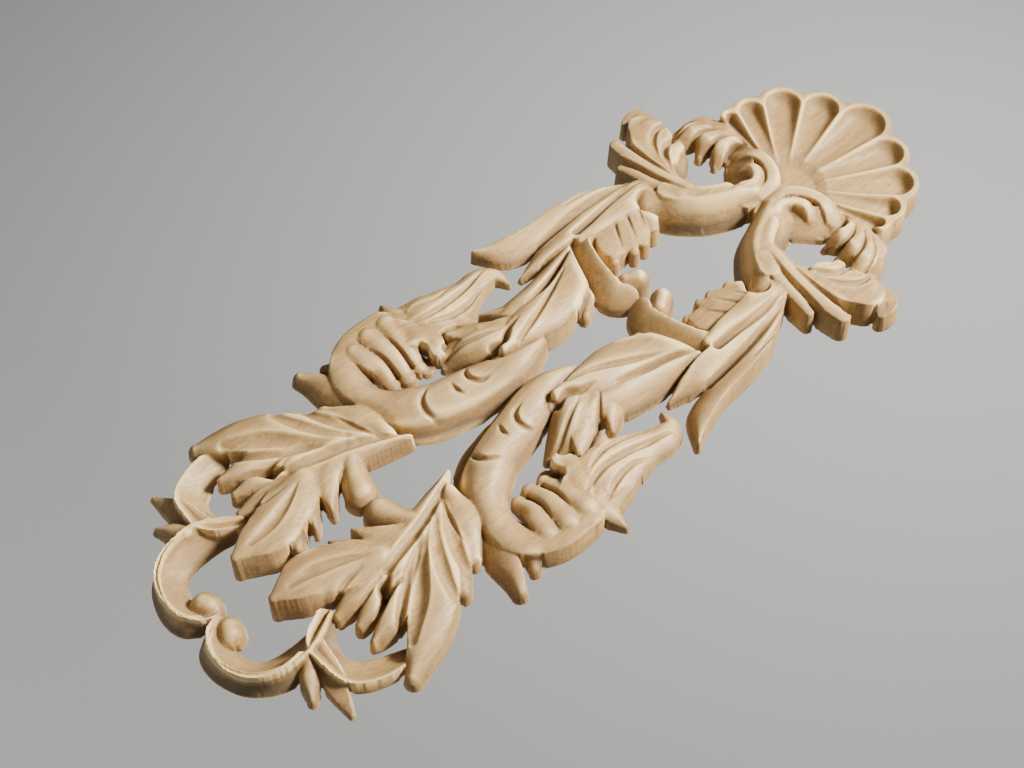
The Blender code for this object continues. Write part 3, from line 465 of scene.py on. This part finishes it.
def across(points, width, x, y):
    """How far each place is inside a stroke's edge, where it is across it from the left edge (-1)
    to the right edge (1), how far out from its middle (0 to 1), and its share along."""
    pts, share = smooth_path(points)
    best = np.full(x.shape, np.inf)
    side = np.zeros(x.shape)
    along = np.zeros(x.shape)
    for (ax, ay), (bx, by), start, end in zip(pts, pts[1:], share, share[1:]):
        dx, dy = bx - ax, by - ay
        t = np.clip(((x - ax) * dx + (y - ay) * dy) / (dx * dx + dy * dy), 0, 1)
        ox, oy = x - ax - t * dx, y - ay - t * dy
        gap = ox * ox + oy * oy
        nearer = gap < best
        best = np.where(nearer, gap, best)
        side = np.where(nearer, (ox * dy - oy * dx) / np.hypot(dx, dy), side)
        along = np.where(nearer, start + t * (end - start), along)
    gap = np.sqrt(best)
    half = spread(width, along)
    out = np.clip(gap / np.maximum(half, LEAST_HALF_WIDTH), 0, 1)
    return half - gap, side / np.maximum(gap, TINY) * out, out, along


def shell(x, y):
    """Scalloped shell: flutes with round ends, cut into a fan that rises to its rim."""
    radius = np.hypot(x, y - SHELL_HUB)
    height = np.interp(radius, SHELL_RADII, RIB_HEIGHTS)
    depth = np.interp(radius, SHELL_RADII, FLUTE_DEPTHS)
    scallops = np.zeros(x.shape)
    for angle, half, reach in FLUTES:
        angle, slope = np.radians(angle), np.sin(np.radians(half))
        centre = reach / (1 + slope)
        run = x * np.cos(angle) + (y - SHELL_HUB) * np.sin(angle)
        off = x * np.sin(angle) - (y - SHELL_HUB) * np.cos(angle)
        width = np.clip(run, FLUTE_START, centre) * slope
        gap = np.where(run > centre, np.hypot(run - centre, off), np.abs(off))
        hollow = np.clip(1 - (gap / (width * FLUTE_SHARE)) ** FLUTE_POWER, 0, 1)
        height = height - np.where(run > 0, depth * hollow, 0)
        within = np.where(run > 0, width + SHELL_RIM - gap, -SCALLOP_LIMIT)
        scallops += np.exp(np.clip(within, -SCALLOP_LIMIT, SCALLOP_LIMIT) / SCALLOP_SOFTNESS)
    inside = SCALLOP_SOFTNESS * np.log(scallops)
    return height, inside


def lay(height, inside, x, y, group, step):
    """Lays a group of strokes over what is there, then makes its cuts."""
    top = np.full(x.shape, NO_WOOD)
    edge = np.full(x.shape, NO_WOOD)
    for item in group:
        xy = np.array(item["points"], float)
        reach = np.max(item["width"]) + PAST_STROKE
        low, high = xy.min(axis=0) - reach, xy.max(axis=0) + reach
        near = (x > low[0]) & (x < high[0]) & (y > low[1]) & (y < high[1])
        if not near.any():
            continue
        within, place, out, along = across(item["points"], item["width"], x[near], y[near])
        if "depth" in item:
            top[near] -= spread(item["depth"], along) * (1 - out**2)
            continue
        left, right, bulge = (spread(item[key], along) for key in ("left", "right", "bulge"))
        level = (left * (1 - place) + right * (1 + place)) / 2 + bulge * (1 - out ** item["power"])
        top[near] = np.where(within > -step, np.maximum(top[near], level), top[near])
        edge[near] = np.maximum(edge[near], within)
    share = np.where(top > NO_WOOD / 10, np.clip(edge / step + 0.5, 0, 1), 0)
    under = np.where(inside > -step / 2, height, top)
    return np.where(share > 0, under * (1 - share) + top * share, height), np.maximum(inside, edge)


def carving(x, y, step):
    """Height of the wood at each place, and how far the place is inside the outline."""
    height, inside = shell(x, y)
    for group in LAYERS:
        height, inside = lay(height, inside, x, y, group(), step)
    return np.maximum(height, THINNEST), inside


def outline_cells(inside, rows, columns):
    """For every grid cell that holds wood: its corners and crossings in order.
    A corner is its grid number; a crossing is the pair of grid numbers that it lies between."""
    number = np.arange(rows * columns).reshape(rows, columns)
    corners = number[:-1, :-1], number[:-1, 1:], number[1:, 1:], number[1:, :-1]
    rings = np.stack(corners, -1).reshape(-1, 4)
    full = inside[rings] > 0
    cells = rings[full.all(axis=1)].tolist()
    mixed = full.any(axis=1) & ~full.all(axis=1)
    for ring, within in zip(rings[mixed].tolist(), full[mixed].tolist()):
        apart = within[0] == within[2] and within[1] == within[3]
        for start in [k for k in range(4) if within[k]] if apart else [None]:
            cell = []
            for k in range(4):
                here, there = ring[k], ring[(k + 1) % 4]
                if within[k] and start in (None, k):
                    cell.append(here)
                if within[k] != within[(k + 1) % 4] and start in (None, k, (k + 1) % 4):
                    cell.append((min(here, there), max(here, there)))
            cells.append(cell)
    return cells


def blurred(values, width):
    """Values on the grid, averaged over their neighbours with a soft round brush."""
    reach = max(1, math.ceil(BRUSH_REACH * width / GRID))
    weights = np.exp(-0.5 * (np.arange(-reach, reach + 1) * GRID / width) ** 2)
    weights /= weights.sum()
    for axis in (0, 1):
        padded = np.pad(values, [(reach, reach) if a == axis else (0, 0) for a in (0, 1)])
        count = values.shape[axis]
        values = sum(w * np.take(padded, range(i, i + count), axis) for i, w in enumerate(weights))
    return values


def within_wood(values, wood, width):
    """The same average, taken over the wood alone."""
    return blurred(values * wood, width) / np.maximum(blurred(wood, width), LEAST_SHARE)


def front_surface():
    """Carved front: points as (x, y, height, how far below its surroundings), and faces."""
    half = int(HALF_WIDTH / GRID) + 1
    across_line = np.arange(-half, half + 1) * GRID
    up_line = np.arange(LOWEST, HIGHEST, GRID)
    x, y = np.meshgrid(across_line, up_line)
    middle = x[:, half:]
    height, inside = carving(middle, y[:, half:], SOFT)
    height = np.hstack([height[:, :0:-1], height])
    inside = np.clip(np.hstack([inside[:, :0:-1], inside]), *INSIDE_LIMITS)
    wood = (inside > -GRID / 2).astype(float)
    height = within_wood(height, wood, BLUR)
    # depth below the surroundings; the material paints shade from it in hollows and a highlight on
    # ridges
    hollow = within_wood(height, wood, HOLLOW_WIDTH) - height
    eased = np.clip(1 - inside / EDGE_ROUND, 0, 1)
    height = height - EDGE_ROUND * (1 - np.sqrt(1 - eased**2))
    least = SNAP * GRID
    inside = np.where(np.abs(inside) < least, np.where(inside > 0, least, -least), inside).ravel()
    cells = outline_cells(inside, *x.shape)
    corners = sorted({key for cell in cells for key in cell if isinstance(key, int)})
    crossings = sorted({key for cell in cells for key in cell if isinstance(key, tuple)})
    number = {key: i for i, key in enumerate(corners + crossings)}
    first, second = np.array(crossings).T
    share = (inside[first] / (inside[first] - inside[second]))[:, None]
    known = np.column_stack([x.ravel(), y.ravel(), height.ravel(), hollow.ravel()])
    known = np.vstack([known[corners], known[first] * (1 - share) + known[second] * share])
    return known, [[number[key] for key in cell] for cell in cells]


def to_world(points):
    """Turns places on the wall, in mm, into the model's metres."""
    return np.column_stack([points[:, 0], -points[:, 2], points[:, 1] - HUB]) / 1000


def depth_inside(points):
    """How far each place is inside the outline."""
    return carving(np.abs(points[:, 0]), points[:, 1], GRID)[1]


def lean(points, outward):
    """How far a wall may lean out at each place: less where another wall is near."""
    room = -depth_inside(points + outward * LEAN_LOOK)
    return DRAFT * np.clip((room - LEAN_FROM) / LEAN_OVER, 0, 1)


def close_back(mesh):
    """Drops walls that lean out a little from the outline to the flat back, and fills it in."""
    work = bmesh.new()
    work.from_mesh(mesh)
    bmesh.ops.triangulate(work, faces=work.faces)
    rim = [edge for edge in work.edges if edge.is_boundary]
    made = bmesh.ops.extrude_edge_only(work, edges=rim)["geom"]
    feet = [item for item in made if isinstance(item, bmesh.types.BMVert)]
    outward = []
    for foot in feet:
        ways = [edge for edge in foot.link_edges if edge.is_boundary]
        along = (ways[0].other_vert(foot).co - ways[1].other_vert(foot).co).normalized()
        outward.append((along.z, -along.x))
    outward = np.array(outward)
    places = np.array([(foot.co.x * 1000, foot.co.z * 1000 + HUB) for foot in feet])
    outward[depth_inside(places + outward * SIDE_STEP) > depth_inside(places)] *= -1
    shift = outward * lean(places, outward)[:, None] / 1000
    for foot, (dx, dz) in zip(feet, shift):
        foot.co = (foot.co.x + dx, 0.0, foot.co.z + dz)
    rim = [edge for edge in work.edges if edge.is_boundary]
    bmesh.ops.triangle_fill(work, edges=rim, use_beauty=True, normal=(0, 1, 0))
    bmesh.ops.triangulate(work, faces=work.faces)
    bmesh.ops.recalc_face_normals(work, faces=work.faces)
    work.to_mesh(mesh)
    work.free()


def thinned(item, triangles):
    """Takes out the points that do least for the shape, alike on both sides."""
    fewer = item.modifiers.new("fewer faces", "DECIMATE")
    fewer.ratio = min(1.0, triangles / len(item.data.polygons))
    fewer.use_symmetry = True
    fewer.symmetry_axis = "X"
    graph = bpy.context.evaluated_depsgraph_get()
    mesh = bpy.data.meshes.new_from_object(item.evaluated_get(graph))
    item.modifiers.clear()
    item.data = mesh


def plain_back(mesh):
    """Gives the flat back and the feet of the walls the wood's even tone, without painted shade or
    highlight.
    """
    shade = np.empty(len(mesh.vertices), np.float32)
    places = np.empty(3 * len(mesh.vertices), np.float32)
    mesh.attributes["hollow"].data.foreach_get("value", shade)
    mesh.vertices.foreach_get("co", places)
    shade[places[1::3] > -BACK_SLACK] = 0.0
    mesh.attributes["hollow"].data.foreach_set("value", shade)


def carved_piece():
    """The whole carving as one closed piece."""
    points, faces = front_surface()
    mesh = bpy.data.meshes.new("carved_wood")
    mesh.from_pydata(to_world(points).tolist(), [], faces)
    # depth below the surroundings, which the material turns into painted shade and a painted
    # highlight
    hollow = mesh.attributes.new("hollow", "FLOAT", "POINT")
    hollow.data.foreach_set("value", points[:, 3].astype(np.float32))
    piece = bpy.data.objects.new("carved_wood", mesh)
    bpy.context.scene.collection.objects.link(piece)
    close_back(piece.data)
    thinned(piece, TRIANGLES)
    plain_back(piece.data)
    piece.data.shade_smooth()
    piece.data.set_sharp_from_angle(angle=SHARP_ANGLE)
    return piece


class Nodes:
    """Short way to add and join the nodes of a material."""

    def __init__(self, material):
        material.use_nodes = True
        self.tree = material.node_tree
        self.shader = self.tree.nodes["Principled BSDF"]

    def add(self, kind, inputs=None, **settings):
        """New node of a kind, with its settings and what goes into its inputs."""
        node = self.tree.nodes.new(kind)
        for name, value in settings.items():
            setattr(node, name, value)
        for name, value in (inputs or {}).items():
            self.give(node.inputs[name], value)
        return node

    def give(self, socket, value):
        """Joins an input to another node's output, or sets it to a value."""
        if isinstance(value, bpy.types.NodeSocket):
            self.tree.links.new(value, socket)
        else:
            socket.default_value = value

    def maths(self, operation, first, second=0.0):
        return self.add("ShaderNodeMath", {0: first, 1: second}, operation=operation).outputs[0]

    def mix(self, share, first, second):
        """A share of the second colour over the first: inputs 6 and 7 and output 2 are colours."""
        node = self.add("ShaderNodeMix", data_type="RGBA")
        self.give(node.inputs[0], share)
        self.give(node.inputs[6], first)
        self.give(node.inputs[7], second)
        return node.outputs[2]

    def spread(self, value, low, high, new_low=0.0, new_high=1.0):
        """Turns values from low to high into ones from new_low to new_high."""
        inputs = {"Value": value, "From Min": low, "From Max": high, "To Min": new_low,
                  "To Max": new_high}
        return self.add("ShaderNodeMapRange", inputs).outputs[0]

    def noise(self, place, stretch, scale, detail=3.0, roughness=0.55):
        """A pattern that varies smoothly from place to place."""
        moved = self.add("ShaderNodeMapping", {"Vector": place, "Scale": stretch})
        inputs = {"Vector": moved.outputs[0], "Scale": scale, "Detail": detail,
                  "Roughness": roughness}
        return self.add("ShaderNodeTexNoise", inputs).outputs["Fac"]


def wood_material():
    """Sanded beech: fine fibres along the carving, with a painted highlight on the ridges and
    painted shade in the hollows.
    """
    material = bpy.data.materials.new("carved beech")
    n = Nodes(material)
    place = n.add("ShaderNodeTexCoord").outputs["Object"]
    hollow = n.add("ShaderNodeAttribute", attribute_name="hollow").outputs["Fac"]
    fibres = n.noise(place, *FIBRES)
    bands = n.noise(place, *BANDS)
    clouds = n.noise(place, *CLOUDS)
    flecks = n.spread(n.noise(place, *FLECKS), *FLECK_SHARE)
    colour = n.mix(n.spread(clouds, *CLOUD_SHARE), WOOD_WARM, WOOD_PALE)
    colour = n.mix(n.spread(bands, *BAND_SHARE), colour, WOOD_BAND)
    colour = n.mix(n.spread(fibres, *FIBRE_SHARE), colour, WOOD_FIBRE)
    colour = n.mix(n.maths("MULTIPLY", flecks, FLECK_MOST), colour, WOOD_FLECK)
    # painted shade: the further a place lies below its surroundings, the darker it is painted
    colour = n.mix(n.spread(hollow, *HOLLOW_SHADE_SHARE), colour, PAINTED_HOLLOW_SHADE)
    # painted highlight: places that stand above their surroundings are painted paler
    colour = n.mix(n.spread(hollow, *RIDGE_HIGHLIGHT_SHARE), colour, PAINTED_RIDGE_HIGHLIGHT)
    n.give(n.shader.inputs["Base Color"], colour)
    rough = n.spread(fibres, *FIBRE_ROUGHNESS)
    dull = n.spread(hollow, *HOLLOW_ROUGHNESS)
    n.give(n.shader.inputs["Roughness"], n.maths("ADD", rough, dull))
    n.shader.inputs["Specular IOR Level"].default_value = WOOD_SPECULAR
    chatter = n.noise(place, *CHATTER)
    grain = n.add("ShaderNodeBump", {"Height": fibres, **GRAIN_BUMP})
    tool = n.add("ShaderNodeBump", {"Height": chatter, "Normal": grain.outputs[0], **TOOL_BUMP})
    n.give(n.shader.inputs["Normal"], tool.outputs[0])
    return material


def stage_material(name, colour):
    """Matt paper, a little darker in soft specks."""
    material = bpy.data.materials.new(name)
    n = Nodes(material)
    place = n.add("ShaderNodeTexCoord").outputs["Object"]
    speck = n.noise(place, *PAPER_SPECKS)
    darker = tuple(PAPER_SHADE * value for value in colour[:3]) + (1.0,)
    n.give(n.shader.inputs["Base Color"], n.mix(speck, darker, colour))
    n.shader.inputs["Roughness"].default_value = PAPER_ROUGHNESS
    return material


def studio():
    """Pale floor well below the carving, with a pale sweep far behind it."""
    profile = [(-FLOOR_REACH, FLOOR_Z)]
    for i in range(SWEEP_STEPS + 1):
        turn = math.radians(90 * i / SWEEP_STEPS)
        back = FLOOR_REACH - SWEEP_RADIUS * (1 - math.sin(turn))
        profile.append((back, FLOOR_Z + SWEEP_RADIUS * (1 - math.cos(turn))))
    profile.append((FLOOR_REACH, FLOOR_Z + 2 * FLOOR_REACH))
    points = [(side * FLOOR_WIDTH / 2, y, z) for y, z in profile for side in (-1, 1)]
    faces = [(2 * i, 2 * i + 1, 2 * i + 3, 2 * i + 2) for i in range(len(profile) - 1)]
    mesh = bpy.data.meshes.new("floor")
    mesh.from_pydata(points, [], faces)
    mesh.shade_smooth()
    floor = bpy.data.objects.new("floor", mesh)
    bpy.context.scene.collection.objects.link(floor)
    mesh.materials.append(stage_material("studio paper", PAPER))
    world = bpy.data.worlds.new("studio")
    world.use_nodes = True
    world.node_tree.nodes["Background"].inputs["Color"].default_value = AIR
    world.node_tree.nodes["Background"].inputs["Strength"].default_value = AIR_STRENGTH
    bpy.context.scene.world = world


def area_light(name, place, target, size, power, colour, opening):
    """Square lamp at a place, turned to what it points at, and never seen itself."""
    data = bpy.data.lights.new(name, "AREA")
    data.size = size
    data.energy = power
    data.color = colour
    data.spread = math.radians(opening)
    lamp = bpy.data.objects.new(name, data)
    lamp.location = place
    lamp.rotation_euler = (Vector(place) - Vector(target)).to_track_quat("Z", "Y").to_euler()
    lamp.visible_camera = False
    bpy.context.scene.collection.objects.link(lamp)


def camera():
    """Camera at the photograph's place, turned as the photograph was taken."""
    data = bpy.data.cameras.new("camera")
    data.sensor_width = SENSOR_WIDTH
    data.lens = LENS
    data.clip_start = CLIP_START
    view = bpy.data.objects.new("camera", data)
    ways = (CAMERA_RIGHT, CAMERA_UP, CAMERA_FORWARD)
    right, up, forward = (Vector(way).normalized() for way in ways)
    turn = Matrix((right, up, -forward)).transposed().to_4x4()
    view.matrix_world = Matrix.Translation(CAMERA_PLACE) @ turn
    bpy.context.scene.collection.objects.link(view)
    bpy.context.scene.camera = view


carved = carved_piece()
carved.data.materials.append(wood_material())
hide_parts("carving")
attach(carved, "root")
studio()
for lamp in LAMPS:
    area_light(*lamp)
camera()
bpy.context.view_layer.update()
